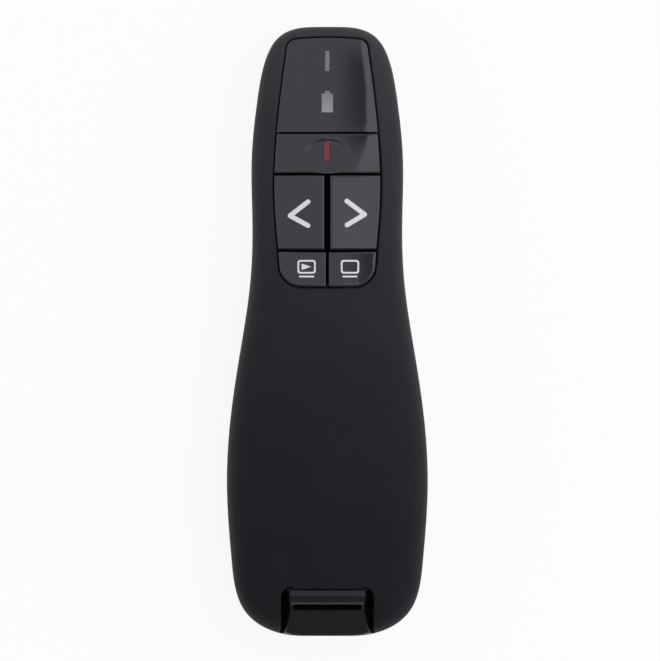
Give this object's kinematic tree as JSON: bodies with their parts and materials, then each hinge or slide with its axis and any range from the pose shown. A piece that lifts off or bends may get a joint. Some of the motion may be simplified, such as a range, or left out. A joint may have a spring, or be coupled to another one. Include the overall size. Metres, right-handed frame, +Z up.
{
  "type": "presentation remote",
  "caption": "Handheld wireless presentation remote with a laser key, paging keys, status window, power slide, cell door and a USB receiver stowed in its tail.",
  "frame": {"origin": "centre of the bounding box's underside, the flat rest patch on the belly", "axes": "+Y along the length towards the nose, +Z up through the keys, +X to the right seen from above with the nose up"},
  "size_m": [0.0382, 0.1156, 0.0255],
  "materials": {
    "case": "soft-touch black, fine grain",
    "key": "gloss black",
    "window": "smoked gloss black",
    "light_pipe": "milky clear",
    "inner_plastic": "natural black",
    "switch_body": "black",
    "switch_stem": "cream",
    "board": "green solder mask",
    "chip": "moulded black",
    "can": "plated can",
    "copper": "bare copper track",
    "led": "clear over cream",
    "laser_metal": "turned",
    "laser_glass": "clear",
    "cell": "printed sleeve",
    "contact": "nickel plated",
    "power_slider": "ribbed",
    "receiver_shell": "black",
    "usb_shell": "bright",
    "usb_tongue": "white",
    "usb_contact": "gold flash",
    "screw": "black zinc"
  },
  "bodies": {
    "housing": {"top_case": "case", "bottom_case": "case", "indicator_window": "window", "laser_switch": "switch_body", "previous_switch": "switch_body", "next_switch": "switch_body", "slideshow_switch": "switch_body", "blank_screen_switch": "switch_body", "key_frame": "inner_plastic", "main_board": "board", "radio_chip": "chip", "crystal": "can", "antenna": "copper", "power_led": "led", "battery_led": "led", "power_light_pipe": "light_pipe", "battery_light_pipe": "light_pipe", "laser_barrel": "laser_metal", "laser_lens": "laser_glass", "laser_diode": "laser_metal", "laser_window": "laser_glass", "slide_switch": "switch_body", "battery_left": "cell", "battery_right": "cell", "battery_spring_tail": "contact", "battery_spring_nose": "contact", "bridge_contact": "contact", "positive_contact": "contact", "negative_contact": "contact", "receiver_dock": "inner_plastic", "case_screws": "screw", "board_screws": "screw"},
    "laser_key": {"laser_button": "key", "laser_switch_stem": "switch_stem"},
    "previous_key": {"previous_button": "key", "previous_switch_stem": "switch_stem"},
    "next_key": {"next_button": "key", "next_switch_stem": "switch_stem"},
    "slideshow_key": {"slideshow_button": "key", "slideshow_switch_stem": "switch_stem"},
    "blank_screen_key": {"blank_screen_button": "key", "blank_screen_switch_stem": "switch_stem"},
    "power_knob": {"power_slider": "power_slider", "slide_switch_lever": "switch_stem"},
    "door": {"battery_door": "case"},
    "receiver": {"receiver_cap": "receiver_shell", "receiver_upper_shell": "receiver_shell", "receiver_lower_shell": "receiver_shell", "usb_plug_shell": "usb_shell", "usb_tongue": "usb_tongue", "usb_contacts": "usb_contact", "receiver_board": "board", "receiver_chip": "chip"}
  },
  "joints": [
    {"name": "laser_press", "type": "slide", "parent": "housing", "child": "laser_key", "axis": [0, 0, -1], "range_m": [0, 0.0005], "stiffness_N_per_m": 1000, "springref_m": -0.0011},
    {"name": "previous_press", "type": "slide", "parent": "housing", "child": "previous_key", "axis": [0, 0, -1], "range_m": [0, 0.0005], "stiffness_N_per_m": 1000, "springref_m": -0.0011},
    {"name": "next_press", "type": "slide", "parent": "housing", "child": "next_key", "axis": [0, 0, -1], "range_m": [0, 0.0005], "stiffness_N_per_m": 1000, "springref_m": -0.0011},
    {"name": "slideshow_press", "type": "slide", "parent": "housing", "child": "slideshow_key", "axis": [0, 0, -1], "range_m": [0, 0.0005], "stiffness_N_per_m": 1000, "springref_m": -0.0011},
    {"name": "blank_screen_press", "type": "slide", "parent": "housing", "child": "blank_screen_key", "axis": [0, 0, -1], "range_m": [0, 0.0005], "stiffness_N_per_m": 1000, "springref_m": -0.0011},
    {"name": "power_slide", "type": "slide", "parent": "housing", "child": "power_knob", "axis": [0, 1, 0], "range_m": [0, 0.002]},
    {"name": "door_slide", "type": "slide", "parent": "housing", "child": "door", "axis": [0, -1, 0], "range_m": [0, 0.007]},
    {"name": "receiver_slide", "type": "slide", "parent": "housing", "child": "receiver", "axis": [0, -1, 0], "range_m": [0, 0.05]}
  ]
}
